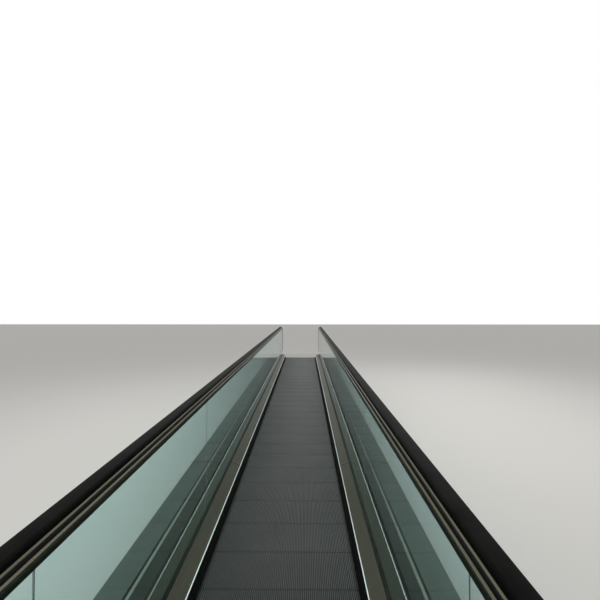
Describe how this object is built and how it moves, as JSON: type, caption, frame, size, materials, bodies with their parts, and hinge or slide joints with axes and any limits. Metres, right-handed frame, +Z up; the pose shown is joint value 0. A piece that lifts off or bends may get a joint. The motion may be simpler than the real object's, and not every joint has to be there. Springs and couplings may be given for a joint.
{
  "type": "moving walkway with glass balustrades",
  "caption": "Level moving walkway: ribbed pallet band between glass balustrades with black handrails, low steel deckings, combs, landings and a lattice truss on feet.",
  "frame": {"origin": "middle of the machine at the level of its feet", "axes": "+Y along the walking direction, +X to the right of somebody who looks along +Y, +Z up"},
  "size_m": [2.014, 15.9, 2.002],
  "materials": {
    "pallets": "ribbed die-cast tread, dull grey",
    "chain": "oiled steel",
    "wheels": "machined, oiled",
    "drive_paint": "satin blue machine paint",
    "galvanised": "galvanised",
    "skirts": "dark low-friction coating",
    "bright_strip": "satin anodised",
    "brushes": "black bristles in a black holder",
    "decking": "dark brushed stainless steel",
    "clamps": "extruded",
    "black_rubber": "matt",
    "glass": "clear toughened, green edge",
    "guides": "brushed bronze-grey anodised",
    "handrail": "smooth black, lightly polished by hands",
    "landing": "fine-ribbed plate",
    "combs": "die-cast, dull yellow",
    "black_steel": "black paint",
    "truss_paint": "grey primer paint"
  },
  "bodies": {
    "root": {"pallets_upper": "pallets", "pallets_return": "pallets", "pallets_turning": "pallets", "chain_left": "chain", "chain_right": "chain", "wheels_near": "wheels", "wheels_far": "wheels", "bearings": "drive_paint", "tracks_upper": "galvanised", "tracks_return": "galvanised", "skirt_left": "skirts", "skirt_right": "skirts", "skirt_strip_left": "bright_strip", "skirt_strip_right": "bright_strip", "brush_left": "brushes", "brush_right": "brushes", "inner_deck_left": "decking", "inner_deck_right": "decking", "outer_deck_left": "decking", "outer_deck_right": "decking", "joint_covers": "decking", "clamp_left": "clamps", "clamp_right": "clamps", "gasket_left": "black_rubber", "gasket_right": "black_rubber", "glass_left": "glass", "glass_right": "glass", "guide_left": "guides", "guide_right": "guides", "handrail_left": "handrail", "handrail_right": "handrail", "inlet_housings": "decking", "inlet_caps": "black_rubber", "comb_plates": "landing", "comb_segments": "combs", "floor_plates": "landing", "landing_frame": "black_steel", "brackets": "galvanised", "handrail_carriers": "black_steel", "truss_left": "truss_paint", "truss_right": "truss_paint", "cross_members": "galvanised", "drip_pan": "galvanised", "feet": "black_steel", "drive_unit": "drive_paint"}
  },
  "joints": []
}
